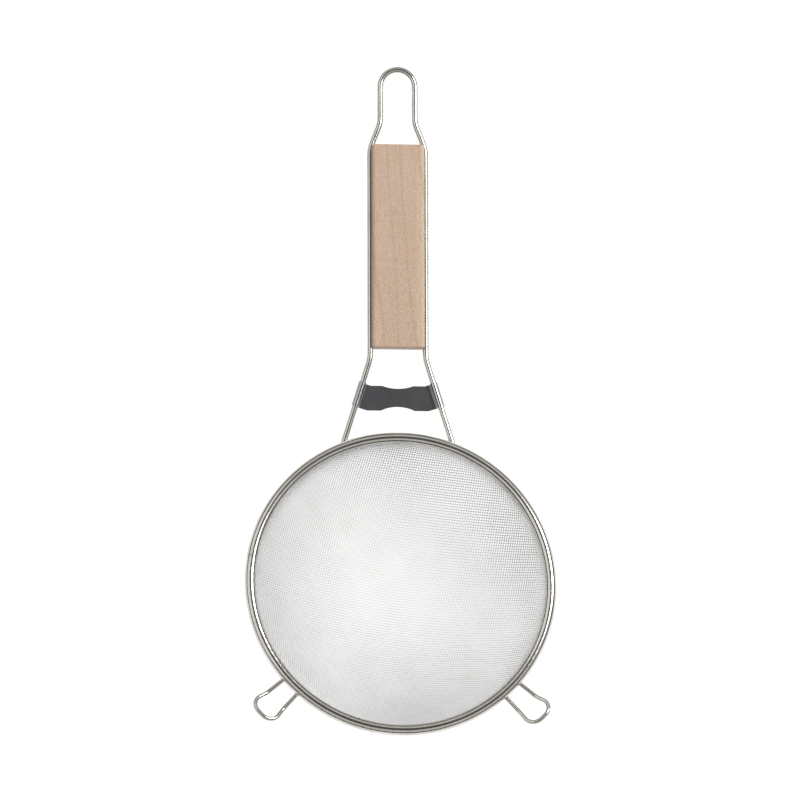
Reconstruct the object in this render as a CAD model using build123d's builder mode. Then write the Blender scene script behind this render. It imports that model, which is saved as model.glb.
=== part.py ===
from build123d import *
from math import atan2, cos, hypot, radians, sin, tan
import os

# Double sieve strainer, in millimetres.
# The rim's centre circle lies in the XY plane around the origin. +Z points out of the
# bowl's mouth, +Y points along the handle, and the two rest hooks point towards -Y.

# Rim: a sheet band rolled round a wire hoop, with the edges of both meshes between them.
RIM_OUTER_RADIUS = 100.0
BEAD_RADIUS = 3.5
BAND_SHEET = 0.5
BAND_LIP_INNER = 185.0  # degrees round the bead, 0 outwards and 90 up
BAND_LIP_LOWER = 245.0
BAND_CURVE_SPANS = 24  # the band's rolled section is one smooth curve through this many spans
SEAM_AZIMUTH = 170.0
SEAM_GAP = 0.3
RIM_RADIUS = RIM_OUTER_RADIUS - BEAD_RADIUS

# Meshes: two sieves, one inside the other.
MESH_THICKNESS = 0.6
MESH_GAP = 0.04
MESH_CLEARANCE = 0.03
WALL_SLOPE = 42.0  # where the dish meets the shoulder
SHOULDER_RADIUS = 14.0
NECK_DROP = 5.0
WRAP_END = -30.0  # degrees round the bead where the meshes end, past its top

HOOP_WIRE_RADIUS = BEAD_RADIUS - BAND_SHEET - 2 * (MESH_CLEARANCE + MESH_THICKNESS) - MESH_GAP
WRAP_RADIUS = BEAD_RADIUS - BAND_SHEET - MESH_CLEARANCE
NECK_RADIUS = RIM_RADIUS - WRAP_RADIUS

# Handle frame: one wire, bent into a hanging loop, two parallel legs and two splayed feet.
WIRE_RADIUS = 2.0
HANDLE_RISE = 6.0  # degrees up from the rim's plane
HANDLE_START_Y = 95.0
WELD_GAP = 0.15
FOOT_BEHIND = 5.8  # how far the feet run back from the handle's start, under the rim
LEG_HALF_WIDTH = 17.8
SPLAY_CORNER = 54.2  # distance along the handle, from its start
SPLAY_ANGLE = 17.4
SPLAY_BEND_RADIUS = 25.0
LOOP_RADIUS = 11.1
LOOP_CENTRE = 230.9
NECK_ANGLE = 22.0
NECK_CORNER = 190.5
NECK_BEND_OUTER = 25.0
NECK_BEND_INNER = 20.0

# Wooden grip, between the legs.
GRIP_WIDTH = 34.0
GRIP_THICKNESS = 10.0
GRIP_START = 60.8
GRIP_LENGTH = 132.0
GRIP_EDGE_RADIUS = 2.4
GRIP_END_RADIUS = 0.8
GROOVE_CLEARANCE = 0.03

# Cross brace: a sheet strip whose ends are rolled round the splayed legs.
BRACE_SHEET = 0.55
BRACE_CLEARANCE = 0.03
BRACE_SLEEVE_LOW = 23.1  # where the sleeve's ends cross the wire's axis
BRACE_SLEEVE_HIGH = 38.5
BRACE_PLATE_LOW = 20.7
BRACE_PLATE_HIGH = 36.8
BRACE_DIP_HALF_TOP = 10.0
BRACE_DIP_TOP = 1.8
BRACE_DIP_HALF_LOW = 10.9
BRACE_DIP_LOW = 2.5
SLEEVE_OPENING = 42.0  # degrees of the sleeve left open beside the plate

# Rest hooks: two wire loops welded under the rim.
HOOK_WIRE_RADIUS = 1.4
HOOK_ANGLE = 46.4  # either side of -Y
HOOK_FOOT_RADIUS = 95.4
HOOK_FOOT_HALF = 6.2
HOOK_BEND_OUT = 12.0  # beyond the rim's outer edge
HOOK_BEND_HALF = 7.4
HOOK_TIP_OUT = 26.2
HOOK_TIP_HALF = 10.2
HOOK_LIFT_ANGLE = 20.0  # of the outer half, up from the rim's plane
HOOK_BEND_RADIUS = 8.0
HOOK_TIP_RADIUS = 7.0

# Weld beads, in the corner between each wire and the rim's underside.
HANDLE_WELD_RADIUS = 2.5
HOOK_WELD_RADIUS = 2.0
WELD_OUT = 1.7  # outwards from the bead's centre circle
WELD_SEAT = 0.01  # between a weld bead and the band

# The handle lies in one plane, tilted up about X. Its local x is across the handle and its
# local y runs along it. Its height puts the feet just under the bead.
splay = tan(radians(SPLAY_ANGLE))


def leg_half_width(along):
    """Half the distance between the splayed legs, at a distance along the handle."""
    return LEG_HALF_WIDTH + (SPLAY_CORNER - along) * splay


rise = radians(HANDLE_RISE)
under_rim = RIM_RADIUS * cos(atan2(leg_half_width(0), HANDLE_START_Y)) - HANDLE_START_Y
handle_drop = (BEAD_RADIUS + WIRE_RADIUS + WELD_GAP) / cos(rise) + under_rim * tan(rise)
handle_plane = Plane(
    origin=(0, HANDLE_START_Y, -handle_drop),
    x_dir=(1, 0, 0),
    z_dir=(0, -sin(rise), cos(rise)),
)


def ring_sector(centre, inner, outer, start, end):
    """Draws the outline of part of a ring, from one angle to another, in the open sketch."""
    with BuildLine() as outline:
        far = CenterArc(centre, outer, start, end - start)
        near = CenterArc(centre, inner, start, end - start)
        Line(far @ 0, near @ 0)
        Line(far @ 1, near @ 1)
    make_face(outline.edges())


def bead_curve(radius):
    """Draws the band's section line, lip to lip, at a radius round the bead's centre."""
    first = BAND_LIP_LOWER - 360
    span = (BAND_LIP_INNER - first) / BAND_CURVE_SPANS
    angles = [radians(first + step * span) for step in range(BAND_CURVE_SPANS + 1)]
    return Spline(*[(RIM_RADIUS + radius * cos(a), radius * sin(a)) for a in angles])


def band_profile():
    """Draws the band's section in the open sketch."""
    with BuildLine() as outline:
        outside = bead_curve(BEAD_RADIUS)
        inside = bead_curve(BEAD_RADIUS - BAND_SHEET)
        Line(outside @ 0, inside @ 0)
        Line(outside @ 1, inside @ 1)
    make_face(outline.edges())


def wall_curve(offset):
    """Draws one surface of a mesh, from the bowl's lowest point up and over the hoop.

    The offset is outwards from the inner sieve's inner surface.
    """
    shoulder = (NECK_RADIUS - SHOULDER_RADIUS, -NECK_DROP)
    join_x = shoulder[0] + SHOULDER_RADIUS * sin(radians(WALL_SLOPE))
    join_z = shoulder[1] - SHOULDER_RADIUS * cos(radians(WALL_SLOPE))
    dish_radius = join_x / sin(radians(WALL_SLOPE))
    dish_centre = (0, join_z + dish_radius * cos(radians(WALL_SLOPE)))
    dish = CenterArc(dish_centre, dish_radius + offset, -90, WALL_SLOPE)
    CenterArc(shoulder, SHOULDER_RADIUS + offset, WALL_SLOPE - 90, 90 - WALL_SLOPE)
    neck_x = NECK_RADIUS + offset
    Line((neck_x, -NECK_DROP), (neck_x, 0))
    wrap = CenterArc((RIM_RADIUS, 0), WRAP_RADIUS - offset, 180, WRAP_END - 180)
    return dish @ 0, wrap @ 1


def mesh_profile(first, second):
    """Draws the section of a mesh between two offsets, in the open sketch."""
    with BuildLine() as outline:
        first_low, first_end = wall_curve(first)
        second_low, second_end = wall_curve(second)
        Line(first_low, second_low)
        Line(first_end, second_end)
    make_face(outline.edges())


def finish(part, label):
    """Names a finished piece and writes its file."""
    part.label = label
    export_step(part, f"parts/{label}.step")


os.makedirs("parts", exist_ok=True)

# Rim band, open at its lower inner side where the meshes leave it, with one butt seam.
with BuildPart() as rim_band:
    with BuildSketch(Plane.XZ):
        band_profile()
    revolve(axis=Axis.Z)
    with Locations(Rotation(0, 0, SEAM_AZIMUTH) * Pos(RIM_RADIUS, 0, 0)):
        Box(3 * BEAD_RADIUS, SEAM_GAP, 3 * BEAD_RADIUS, mode=Mode.SUBTRACT)
finish(rim_band.part, "rim_band")

# Wire hoop inside the bead.
with BuildPart() as rim_hoop:
    with BuildSketch(Plane.XZ):
        with Locations((RIM_RADIUS, 0)):
            Circle(HOOP_WIRE_RADIUS)
    revolve(axis=Axis.Z)
finish(rim_hoop.part, "rim_hoop")

# Inner sieve.
with BuildPart() as inner_mesh:
    with BuildSketch(Plane.XZ):
        mesh_profile(0, MESH_THICKNESS)
    revolve(axis=Axis.Z)
finish(inner_mesh.part, "inner_mesh")

# Outer sieve, close outside the inner one.
with BuildPart() as outer_mesh:
    with BuildSketch(Plane.XZ):
        mesh_profile(MESH_THICKNESS + MESH_GAP, 2 * MESH_THICKNESS + MESH_GAP)
    revolve(axis=Axis.Z)
finish(outer_mesh.part, "outer_mesh")

# The route of the handle wire: one leg, its mirror image and the loop between them.
neck_height = (LEG_HALF_WIDTH - LOOP_RADIUS) / tan(radians(NECK_ANGLE))
with BuildLine(handle_plane) as handle_route:
    leg = FilletPolyline(
        (leg_half_width(-FOOT_BEHIND), -FOOT_BEHIND),
        (LEG_HALF_WIDTH, SPLAY_CORNER),
        (LEG_HALF_WIDTH, NECK_CORNER),
        (LOOP_RADIUS, NECK_CORNER + neck_height),
        (LOOP_RADIUS, LOOP_CENTRE),
        radius=[SPLAY_BEND_RADIUS, NECK_BEND_OUTER, NECK_BEND_INNER],
    )
    CenterArc((0, LOOP_CENTRE), LOOP_RADIUS, 0, 180)
    mirror(leg, about=Plane.YZ)


def wire_start(route):
    """The plane across a wire at the start of its route."""
    return Plane(origin=route @ 0, z_dir=route % 0)


with BuildPart() as handle_frame:
    with BuildSketch(wire_start(leg)):
        Circle(WIRE_RADIUS)
    sweep(path=handle_route.wire())
finish(handle_frame.part, "handle_frame")

# Wooden grip, grooved along both edges for the wire's legs.
with BuildPart() as wood_grip:
    with BuildSketch(handle_plane.offset(-GRIP_THICKNESS / 2)):
        with Locations((0, GRIP_START + GRIP_LENGTH / 2)):
            Rectangle(GRIP_WIDTH, GRIP_LENGTH)
    extrude(amount=GRIP_THICKNESS)
    long_edges = wood_grip.edges().group_by(SortBy.LENGTH)[-1]
    fillet(long_edges, GRIP_EDGE_RADIUS)
    end_faces = wood_grip.faces().filter_by(Axis(handle_plane.origin, handle_plane.y_dir))
    fillet(end_faces.edges(), GRIP_END_RADIUS)
    with BuildSketch(wire_start(leg)):
        Circle(WIRE_RADIUS + GROOVE_CLEARANCE)
    sweep(path=handle_route.wire(), mode=Mode.SUBTRACT)
finish(wood_grip.part, "wood_grip")

# Cross brace: the plate is level with the underside of the sleeves.
sleeve_outer = WIRE_RADIUS + BRACE_CLEARANCE + BRACE_SHEET
with BuildPart() as cross_brace:
    with BuildSketch(handle_plane.offset(-sleeve_outer)):
        with BuildLine():
            top_left = (-BRACE_DIP_HALF_TOP, BRACE_PLATE_HIGH)
            top_right = (BRACE_DIP_HALF_TOP, BRACE_PLATE_HIGH)
            low_left = (-BRACE_DIP_HALF_LOW, BRACE_PLATE_LOW)
            low_right = (BRACE_DIP_HALF_LOW, BRACE_PLATE_LOW)
            ThreePointArc(top_left, (0, BRACE_PLATE_HIGH - BRACE_DIP_TOP), top_right)
            ThreePointArc(low_left, (0, BRACE_PLATE_LOW + BRACE_DIP_LOW), low_right)
            for side, top, low in ((-1, top_left, low_left), (1, top_right, low_right)):
                high_axis = leg_half_width(BRACE_SLEEVE_HIGH)
                low_axis = leg_half_width(BRACE_SLEEVE_LOW)
                high_turn = high_axis - (BRACE_SLEEVE_HIGH - BRACE_PLATE_HIGH) / splay
                low_turn = low_axis - (BRACE_SLEEVE_LOW - BRACE_PLATE_LOW) / splay
                Polyline(
                    top,
                    (side * high_turn, BRACE_PLATE_HIGH),
                    (side * high_axis, BRACE_SLEEVE_HIGH),
                    (side * low_axis, BRACE_SLEEVE_LOW),
                    (side * low_turn, BRACE_PLATE_LOW),
                    low,
                )
        make_face()
    extrude(amount=BRACE_SHEET)
    for side in (-1, 1):
        low_point = handle_plane.from_local_coords(
            Vector(side * leg_half_width(BRACE_SLEEVE_LOW), BRACE_SLEEVE_LOW, 0)
        )
        high_point = handle_plane.from_local_coords(
            Vector(side * leg_half_width(BRACE_SLEEVE_HIGH), BRACE_SLEEVE_HIGH, 0)
        )
        along = high_point - low_point
        across = handle_plane.z_dir.cross(along)
        sleeve_plane = Plane(origin=low_point, x_dir=-side * across, z_dir=along)
        with BuildSketch(sleeve_plane):
            if side > 0:
                start, end = -90, 270 - SLEEVE_OPENING
            else:
                start, end = SLEEVE_OPENING - 90, 270
            ring_sector((0, 0), WIRE_RADIUS + BRACE_CLEARANCE, sleeve_outer, start, end)
        extrude(amount=along.length)
finish(cross_brace.part, "cross_brace")


def hook_route(side):
    """The corners of a rest hook: two legs, a bend upwards, and a wide rounded tip."""
    turn = radians(90 - HOOK_ANGLE)
    out = Vector(side * cos(turn), -sin(turn), 0)
    across = Vector(sin(turn), side * cos(turn), 0)
    level = Vector(0, 0, -(BEAD_RADIUS + HOOK_WIRE_RADIUS + WELD_GAP))
    bend = RIM_OUTER_RADIUS + HOOK_BEND_OUT
    tip_run = HOOK_TIP_OUT - HOOK_BEND_OUT
    tip = out * (bend + tip_run * cos(radians(HOOK_LIFT_ANGLE)))
    tip += level + Vector(0, 0, tip_run * sin(radians(HOOK_LIFT_ANGLE)))
    half = [
        (out * HOOK_FOOT_RADIUS + level, HOOK_FOOT_HALF),
        (out * bend + level, HOOK_BEND_HALF),
        (tip, HOOK_TIP_HALF),
    ]
    first = [point + across * width for point, width in half]
    second = [point - across * width for point, width in half]
    return first + second[::-1]


hooks = {}
for name, side in (("rest_hook_left", -1), ("rest_hook_right", 1)):
    with BuildPart() as rest_hook:
        with BuildLine() as route:
            FilletPolyline(
                *hook_route(side),
                radius=[HOOK_BEND_RADIUS, HOOK_TIP_RADIUS, HOOK_TIP_RADIUS, HOOK_BEND_RADIUS],
            )
        with BuildSketch(wire_start(route.wire())):
            Circle(HOOK_WIRE_RADIUS)
        sweep(path=route.wire())
    hooks[name] = rest_hook.part
    finish(rest_hook.part, name)


def weld_places(points):
    """Moves each point to just outside the bead's centre circle, at the wire's upper side."""
    for point in points:
        reach = (RIM_RADIUS + WELD_OUT) / hypot(point.X, point.Y)
        yield (point.X * reach, point.Y * reach, -BEAD_RADIUS)


# Weld beads of the handle's feet.
with BuildPart() as handle_welds:
    with Locations(*weld_places([leg @ 0, (leg @ 0) - Vector(2 * (leg @ 0).X, 0, 0)])):
        Sphere(HANDLE_WELD_RADIUS)
    Torus(RIM_RADIUS, BEAD_RADIUS + WELD_SEAT, mode=Mode.SUBTRACT)
    add(handle_frame.part, mode=Mode.SUBTRACT)
finish(handle_welds.part, "handle_welds")

# Weld beads of the hooks' feet.
with BuildPart() as hook_welds:
    feet = [hook_route(side)[end] for side in (-1, 1) for end in (0, -1)]
    with Locations(*weld_places(feet)):
        Sphere(HOOK_WELD_RADIUS)
    Torus(RIM_RADIUS, BEAD_RADIUS + WELD_SEAT, mode=Mode.SUBTRACT)
    add(hooks.values(), mode=Mode.SUBTRACT)
finish(hook_welds.part, "hook_welds")
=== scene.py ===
from math import cos, pi, radians, sin

import bpy
import numpy as np
from mathutils import Matrix, Vector


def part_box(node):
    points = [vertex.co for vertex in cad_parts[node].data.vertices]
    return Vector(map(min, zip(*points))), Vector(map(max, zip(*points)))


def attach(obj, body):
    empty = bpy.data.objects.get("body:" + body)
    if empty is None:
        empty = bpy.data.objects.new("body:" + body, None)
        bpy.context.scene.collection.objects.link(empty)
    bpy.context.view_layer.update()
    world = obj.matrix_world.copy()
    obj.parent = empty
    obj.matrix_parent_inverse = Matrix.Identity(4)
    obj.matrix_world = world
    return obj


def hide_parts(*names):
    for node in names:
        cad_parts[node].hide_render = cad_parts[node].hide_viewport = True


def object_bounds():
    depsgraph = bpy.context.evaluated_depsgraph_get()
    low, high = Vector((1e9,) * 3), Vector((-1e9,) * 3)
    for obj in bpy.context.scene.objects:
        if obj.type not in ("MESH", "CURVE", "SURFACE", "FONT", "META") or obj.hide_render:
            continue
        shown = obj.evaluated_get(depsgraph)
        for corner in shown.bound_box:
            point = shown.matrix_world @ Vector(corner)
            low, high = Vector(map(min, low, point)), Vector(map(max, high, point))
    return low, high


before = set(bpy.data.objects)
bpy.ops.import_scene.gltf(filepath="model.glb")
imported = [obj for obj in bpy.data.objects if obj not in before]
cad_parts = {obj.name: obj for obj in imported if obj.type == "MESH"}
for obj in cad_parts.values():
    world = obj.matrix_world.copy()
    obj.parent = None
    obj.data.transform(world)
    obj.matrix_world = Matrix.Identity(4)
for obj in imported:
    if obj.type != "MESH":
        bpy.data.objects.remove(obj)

cad_low, cad_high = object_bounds()

# ---------------------------------------------------------------- measures, in metres
# The bowl's section follows the CAD nodes: dish, shoulder, neck and the wrap over the hoop.
band_low, band_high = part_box("rim_band")
BEAD = (band_high[2] - band_low[2]) / 2
RIM = band_high[0] - BEAD
SHELL = 0.0006
SHELL_GAP = 0.00004
BAND_SHEET = 0.0005
BAND_GAP = 0.00003
WRAP = BEAD - BAND_SHEET - BAND_GAP
NECK = RIM - WRAP
SHOULDER = 0.014
NECK_DROP = 0.005
NECK_TOP = 0.0006  # where the weave ends, just above the rim's middle plane
SLOPE = radians(42)

GRIP_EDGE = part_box("wood_grip")[1][0]

# The weave: each sieve is a plain weave that fills its shell's thickness.
WIRE_RADIUS = 0.00015
CRIMP = SHELL / 2 - WIRE_RADIUS
WIRE_SIDES = 5
LAYERS = (
    # name, offset of the middle surface, turn, stretch, shift in pitches
    ("inner", SHELL / 2, 0.0, 1.0, 0.0),
    ("outer", SHELL * 1.5 + SHELL_GAP, 0.1, 1.0045, 0.05),
)
NODE_OF = {"inner": "inner_mesh", "outer": "outer_mesh"}
PITCH_ALONG = 0.001655
PITCH_ACROSS = 0.001769
ANGLE_ALONG = -7.6  # degrees from X, in the flat sheet
ANGLE_ACROSS = 77.9


# ---------------------------------------------------------------- node helpers
def new_material(name):
    mat = bpy.data.materials.new(name)
    mat.use_nodes = True
    tree = mat.node_tree
    shader = tree.nodes["Principled BSDF"]
    return mat, tree, shader


def object_coords(tree, scale=(1, 1, 1), turn=(0, 0, 0)):
    place = tree.nodes.new("ShaderNodeTexCoord")
    mapping = tree.nodes.new("ShaderNodeMapping")
    mapping.inputs["Scale"].default_value = scale
    mapping.inputs["Rotation"].default_value = turn
    tree.links.new(place.outputs["Object"], mapping.inputs["Vector"])
    return mapping.outputs["Vector"]


def ramp(tree, source, stops):
    node = tree.nodes.new("ShaderNodeValToRGB")
    band = node.color_ramp
    while len(band.elements) < len(stops):
        band.elements.new(0.5)
    for element, (place, colour) in zip(band.elements, stops):
        element.position = place
        element.color = (*colour, 1)
    tree.links.new(source, node.inputs["Fac"])
    return node.outputs["Color"]


def grey(v):
    return (v, v, v)


def noise(tree, vector, scale, detail=4, rough=0.55):
    node = tree.nodes.new("ShaderNodeTexNoise")
    node.inputs["Scale"].default_value = scale
    node.inputs["Detail"].default_value = detail
    node.inputs["Roughness"].default_value = rough
    tree.links.new(vector, node.inputs["Vector"])
    return node.outputs["Fac"]


def bump(tree, shader, height, strength, distance):
    node = tree.nodes.new("ShaderNodeBump")
    node.inputs["Strength"].default_value = strength
    node.inputs["Distance"].default_value = distance
    tree.links.new(height, node.inputs["Height"])
    tree.links.new(node.outputs["Normal"], shader.inputs["Normal"])


def mix_colour(tree, fac, a, b, blend="MIX"):
    node = tree.nodes.new("ShaderNodeMix")
    node.data_type = "RGBA"
    node.blend_type = blend
    node.inputs[0].default_value = fac
    tree.links.new(a, node.inputs[6])
    tree.links.new(b, node.inputs[7])
    return node.outputs[2]


# ---------------------------------------------------------------- materials
def steel(name, low, high, rough_low, rough_high, grain):
    """Drawn or polished steel: cloudy tone, faint handling marks, fine scratches."""
    mat, tree, shader = new_material(name)
    shader.inputs["Metallic"].default_value = 1.0
    cloud = noise(tree, object_coords(tree), 60, 5)
    marks = noise(tree, object_coords(tree), 900, 3, 0.7)
    tone = ramp(tree, cloud, [(0.3, low), (0.7, high)])
    dull = ramp(tree, marks, [(0.35, grey(rough_low)), (0.75, grey(rough_high))])
    tree.links.new(tone, shader.inputs["Base Color"])
    tree.links.new(dull, shader.inputs["Roughness"])
    fine = noise(tree, object_coords(tree), 3200, 2, 0.6)
    bump(tree, shader, fine, grain, 0.00005)
    return mat


polished = steel("polished_steel", (0.58, 0.56, 0.525), (0.70, 0.685, 0.655), 0.13, 0.19, 0.004)
mesh_wire = steel("woven_wire", (0.80, 0.805, 0.81), (0.90, 0.905, 0.91), 0.42, 0.55, 0.03)
weld_metal = steel("weld_metal", (0.40, 0.37, 0.33), (0.64, 0.62, 0.58), 0.30, 0.50, 0.6)


def brace_material():
    """Satin sheet steel with very faint drawing streaks."""
    mat, tree, shader = new_material("dark_sheet")
    shader.inputs["Metallic"].default_value = 1.0
    streaks = noise(tree, object_coords(tree, (1, 0.06, 1)), 1500, 4, 0.6)
    cloud = noise(tree, object_coords(tree), 90, 4)
    both = mix_colour(
        tree,
        0.5,
        ramp(tree, streaks, [(0.3, (0.455, 0.46, 0.49)), (0.75, (0.48, 0.485, 0.51))]),
        ramp(tree, cloud, [(0.3, (0.42, 0.425, 0.45)), (0.7, (0.54, 0.54, 0.55))]),
    )
    tree.links.new(both, shader.inputs["Base Color"])
    dull = ramp(tree, streaks, [(0.3, grey(0.20)), (0.8, grey(0.24))])
    tree.links.new(dull, shader.inputs["Roughness"])
    bump(tree, shader, streaks, 0.02, 0.00005)
    return mat


def wood_material():
    """Pale wood: long fibres, slanting growth lines, pores, speckle, and a painted highlight: a paler
    strip along the edge that faces the lamp.
    """
    mat, tree, shader = new_material("pale_wood")
    fibres = noise(tree, object_coords(tree, (1, 0.018, 1)), 1900, 7, 0.6)
    clouds = noise(tree, object_coords(tree, (1, 0.3, 1)), 60, 3, 0.5)
    pores = noise(tree, object_coords(tree, (1, 0.07, 1)), 2800, 1, 0.4)
    rings = tree.nodes.new("ShaderNodeTexWave")
    rings.wave_type = "BANDS"
    rings.bands_direction = "X"
    rings.inputs["Scale"].default_value = 26
    rings.inputs["Distortion"].default_value = 14
    rings.inputs["Detail"].default_value = 2
    rings.inputs["Detail Scale"].default_value = 0.8
    slant = object_coords(tree, (1, 0.13, 0.5), (0, 0, radians(-7)))
    tree.links.new(slant, rings.inputs["Vector"])
    shades = [(0.25, (0.61, 0.455, 0.355)), (0.5, (0.69, 0.52, 0.405)), (0.8, (0.76, 0.585, 0.47))]
    base = ramp(tree, fibres, shades)
    broad = ramp(tree, clouds, [(0.3, (0.93, 0.91, 0.89)), (0.7, (1.0, 1.0, 1.0))])
    lines = ramp(tree, rings.outputs["Fac"], [(0.0, (0.84, 0.78, 0.72)), (0.09, (1.0, 1.0, 1.0))])
    flecks = ramp(tree, pores, [(0.27, (0.70, 0.60, 0.52)), (0.36, (1.0, 1.0, 1.0))])
    tone = mix_colour(tree, 1.0, base, broad, "MULTIPLY")
    tone = mix_colour(tree, 0.5, tone, lines, "MULTIPLY")
    speckle = noise(tree, object_coords(tree, (1, 0.45, 1)), 1500, 3, 0.75)
    grains = ramp(tree, speckle, [(0.36, (0.80, 0.75, 0.70)), (0.58, (1.0, 1.0, 1.0))])
    tone = mix_colour(tree, 1.0, tone, grains, "MULTIPLY")
    tone = mix_colour(tree, 0.4, tone, flecks, "MULTIPLY")
    # Painted highlight: the face is darkened to 0.88, except within about 5 mm of the grip's +X edge,
    # which stays paler at 0.95. This stands in for lamp light on that rounded edge.
    across = tree.nodes.new("ShaderNodeSeparateXYZ")
    tree.links.new(object_coords(tree), across.inputs["Vector"])
    reach = tree.nodes.new("ShaderNodeMapRange")
    reach.inputs["From Min"].default_value = GRIP_EDGE - 0.0055
    reach.inputs["From Max"].default_value = GRIP_EDGE - 0.0047
    tree.links.new(across.outputs["X"], reach.inputs["Value"])
    painted_edge_light = ramp(tree, reach.outputs["Result"], [(0.0, grey(0.88)), (1.0, grey(0.95))])
    tone = mix_colour(tree, 1.0, tone, painted_edge_light, "MULTIPLY")
    tree.links.new(tone, shader.inputs["Base Color"])
    dull = ramp(tree, fibres, [(0.2, grey(0.52)), (0.8, grey(0.66))])
    tree.links.new(dull, shader.inputs["Roughness"])
    shader.inputs["Specular IOR Level"].default_value = 0.35
    bump(tree, shader, fibres, 0.15, 0.0001)
    return mat


FINISH = {
    "rim_band": polished,
    "rim_hoop": polished,
    "handle_frame": polished,
    "rest_hook_left": polished,
    "rest_hook_right": polished,
    "handle_welds": weld_metal,
    "hook_welds": weld_metal,
    "cross_brace": brace_material(),
    "wood_grip": wood_material(),
}
for node, mat in FINISH.items():
    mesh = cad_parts[node].data
    mesh.materials.clear()
    mesh.materials.append(mat)


# ---------------------------------------------------------------- woven sieves
def section(offset):
    """The bowl's section at an offset outside the inner surface, as points by arc length."""
    steps = 400
    join_x = NECK - SHOULDER + SHOULDER * sin(SLOPE)
    join_z = -NECK_DROP - SHOULDER * cos(SLOPE)
    dish = join_x / sin(SLOPE)
    centre_z = join_z + dish * cos(SLOPE)
    a = np.linspace(0, SLOPE, steps)
    x = [(dish + offset) * np.sin(a)]
    z = [centre_z - (dish + offset) * np.cos(a)]
    nx, nz = [np.sin(a)], [-np.cos(a)]
    a = np.linspace(SLOPE, pi / 2, steps // 4)[1:]
    x.append(NECK - SHOULDER + (SHOULDER + offset) * np.sin(a))
    z.append(-NECK_DROP - (SHOULDER + offset) * np.cos(a))
    nx.append(np.sin(a))
    nz.append(-np.cos(a))
    up = np.linspace(-NECK_DROP, NECK_TOP, 20)[1:]
    x.append(np.full_like(up, NECK + offset))
    z.append(up)
    nx.append(np.ones_like(up))
    nz.append(np.zeros_like(up))
    x, z, nx, nz = map(np.concatenate, (x, z, nx, nz))
    s = np.concatenate([[0], np.cumsum(np.hypot(np.diff(x), np.diff(z)))])
    return s, x, z, nx, nz


def drape(flat, profile):
    """Places points of the flat sheet on the bowl, with distances from its middle kept."""
    s, x, z, nx, nz = profile
    far = np.hypot(flat[:, 0], flat[:, 1])
    safe = np.maximum(far, 1e-9)
    ux, uy = flat[:, 0] / safe, flat[:, 1] / safe
    r = np.interp(far, s, x)
    out = np.interp(far, s, nx)
    points = np.stack([r * ux, r * uy, np.interp(far, s, z)], 1)
    normals = np.stack([out * ux, out * uy, np.interp(far, s, nz)], 1)
    return points, normals


def wires(profile, turn, stretch, shift, family):
    """One family of the weave's wires, each as rings of points, with the number of rings and its mean
    place across the family.
    """
    a, b = radians(ANGLE_ALONG + turn), radians(ANGLE_ACROSS + turn)
    along = PITCH_ALONG * stretch * np.array([cos(a), sin(a)])
    across = PITCH_ACROSS * stretch * np.array([cos(b), sin(b)])
    reach = profile[0][-1]
    count = int(reach / min(PITCH_ALONG, PITCH_ACROSS)) + 4
    ring_angle = np.arange(WIRE_SIDES) * 2 * pi / WIRE_SIDES
    for k in range(-count, count + 1):
        t = np.arange(-2 * count, 2 * count + 1) / 2
        if family == 0:
            flat = np.outer(t, along) + (k + shift) * across
        else:
            flat = (k + shift) * along + np.outer(t, across)
        inside = np.hypot(flat[:, 0], flat[:, 1]) < reach
        if inside.sum() < 4:
            continue
        t, flat = t[inside], flat[inside]
        points, normals = drape(flat, profile)
        # over at one crossing, under at the next, level between them
        whole = np.isclose(t % 1, 0)
        side = np.where((np.round(t) + k) % 2 == 0, 1.0, -1.0) * (1 if family == 0 else -1)
        points = points + normals * (np.where(whole, side, 0) * CRIMP)[:, None]
        tangent = np.gradient(points, axis=0)
        tangent /= np.linalg.norm(tangent, axis=1)[:, None]
        sideways = np.cross(normals, tangent)
        sideways /= np.linalg.norm(sideways, axis=1)[:, None]
        upright = np.cross(tangent, sideways)
        ring = (
            points[:, None]
            + WIRE_RADIUS * np.cos(ring_angle)[None, :, None] * sideways[:, None]
            + WIRE_RADIUS * np.sin(ring_angle)[None, :, None] * upright[:, None]
        )
        yield ring.reshape(-1, 3), len(points), float(np.mean(flat[:, 0] if family else flat[:, 1]))


def wire_mesh(name, rings):
    """Joins the rings of several wires into one open-ended tube mesh."""
    verts, quads, base = [], [], 0
    around = np.arange(WIRE_SIDES)
    following = (around + 1) % WIRE_SIDES
    for ring, length, _ in rings:
        row = base + np.arange(length - 1)[:, None] * WIRE_SIDES
        quads.append(
            np.stack(
                [row + around, row + following, row + WIRE_SIDES + following, row + WIRE_SIDES + around], 2
            ).reshape(-1, 4)
        )
        verts.append(ring)
        base += len(ring)
    verts, quads = np.concatenate(verts), np.concatenate(quads)
    mesh = bpy.data.meshes.new(name)
    mesh.vertices.add(len(verts))
    mesh.vertices.foreach_set("co", verts.astype(np.float32).ravel())
    mesh.loops.add(quads.size)
    mesh.loops.foreach_set("vertex_index", quads.astype(np.int32).ravel())
    mesh.polygons.add(len(quads))
    mesh.polygons.foreach_set("loop_start", np.arange(0, quads.size, 4, dtype=np.int32))
    mesh.polygons.foreach_set("use_smooth", np.ones(len(quads), dtype=bool))
    mesh.update(calc_edges=True)
    mesh.validate()
    mesh.materials.append(mesh_wire)
    piece = bpy.data.objects.new(name, mesh)
    bpy.context.scene.collection.objects.link(piece)
    return piece


for layer, offset, turn, stretch, shift in LAYERS:
    profile = section(offset)
    for family, word in ((0, "weft"), (1, "warp")):
        rings = list(wires(profile, turn, stretch, shift, family))
        for part, keep in (("a", lambda m: m < 0), ("b", lambda m: m >= 0)):
            piece = wire_mesh(f"{layer}_sieve_{word}_{part}", [r for r in rings if keep(r[2])])
            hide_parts(NODE_OF[layer])
            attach(piece, "root")

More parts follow.
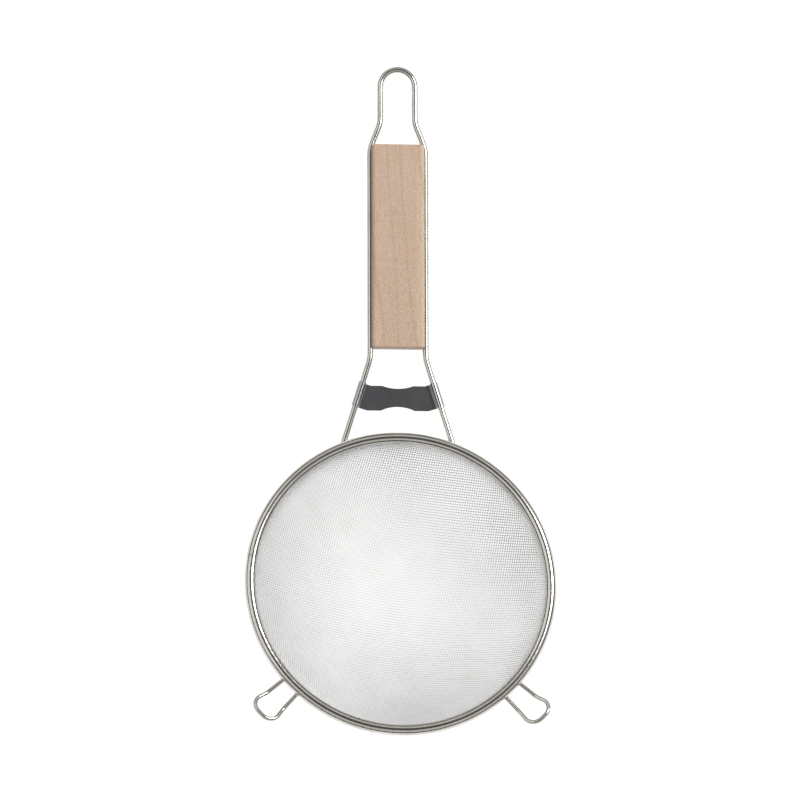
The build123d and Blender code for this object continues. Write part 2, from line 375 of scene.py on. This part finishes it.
# ---------------------------------------------------------------- floor, light, camera
floor_mesh = bpy.data.meshes.new("floor")
FLOOR_GAP = 0.0006
FLOOR_HALF = 9.0  # far enough to fill low views as well
floor_z = cad_low[2] - FLOOR_GAP
floor_mesh.from_pydata(
    [(x * FLOOR_HALF, y * FLOOR_HALF, floor_z) for x, y in ((-1, -1), (1, -1), (1, 1), (-1, 1))],
    [],
    [(0, 1, 2, 3)],
)
floor = bpy.data.objects.new("floor", floor_mesh)
bpy.context.scene.collection.objects.link(floor)
floor_mat, tree, shader = new_material("pale_floor")
shader.inputs["Roughness"].default_value = 0.9
paper = noise(tree, object_coords(tree), 300, 3)
tree.links.new(ramp(tree, paper, [(0.3, grey(0.09)), (0.7, grey(0.11))]), shader.inputs["Base Color"])
shader.inputs["Emission Color"].default_value = (1.0, 0.995, 0.985, 1)
shader.inputs["Emission Strength"].default_value = 0.97
floor_mesh.materials.append(floor_mat)

world = bpy.data.worlds.new("studio")
bpy.context.scene.world = world
world.use_nodes = True
tree = world.node_tree
background = tree.nodes["Background"]
place = tree.nodes.new("ShaderNodeTexCoord")
split = tree.nodes.new("ShaderNodeSeparateXYZ")
tree.links.new(place.outputs["Generated"], split.inputs["Vector"])
sky = ramp(
    tree,
    split.outputs["Z"],
    [
        (0.0, grey(0.02)),
        (0.34, (0.05, 0.05, 0.05)),
        (0.52, (0.64, 0.62, 0.585)),
        (0.86, (0.64, 0.63, 0.61)),
        (0.95, grey(0.085)),
    ],
)
tree.links.new(sky, background.inputs["Color"])
background.inputs["Strength"].default_value = 1.0


def area(name, place, target, size, power):
    """A square lamp facing a point; the camera doesn't see it."""
    lamp = bpy.data.lights.new(name, "AREA")
    lamp.shape = "SQUARE"
    lamp.size = size
    lamp.energy = power
    holder = bpy.data.objects.new(name, lamp)
    bpy.context.scene.collection.objects.link(holder)
    holder.location = place
    holder.visible_camera = False
    facing = Vector(target) - Vector(place)
    holder.rotation_euler = facing.to_track_quat("-Z", "Y").to_euler()
    return holder


middle = (cad_low + cad_high) / 2
# The softbox fills; its mirror image in the polished wire is a dimmer panel just in front of it.
fill = area("softbox", (1.27, 0.62, 1.73), middle, size=1.1, power=17)
fill.visible_glossy = False
area("softbox_face", (1.21, 0.60, 1.65), middle, size=0.8, power=18)
area("left_panel", (-1.35, 0.35, 1.45), middle, size=2.2, power=6)

VIEW_WIDTH = 0.5112  # metres across the picture, at the object
SENSOR = 36
DISTANCE = 16.0  # near enough for the far clip of the other views
toward = Vector((-0.094, -0.261, 0.961)).normalized()
right = Vector((0.99525, 0, 0.09735))
right = (right - right.dot(toward) * toward).normalized()
up = toward.cross(right)
roll = radians(-0.7)
look_right = right * cos(roll) + up * sin(roll)
look_up = up * cos(roll) - right * sin(roll)
aim = look_up * 0.1174 - look_right * 0.0004
camera_data = bpy.data.cameras.new("camera")
camera_data.sensor_width = SENSOR
camera_data.lens = SENSOR * DISTANCE / VIEW_WIDTH
camera_data.clip_start, camera_data.clip_end = 0.1, 40
camera = bpy.data.objects.new("camera", camera_data)
bpy.context.scene.collection.objects.link(camera)
camera.matrix_world = Matrix.Translation(aim + toward * DISTANCE) @ (
    Matrix((look_right, look_up, toward)).transposed().to_4x4()
)
bpy.context.scene.camera = camera
bpy.context.scene.view_settings.view_transform = "Standard"
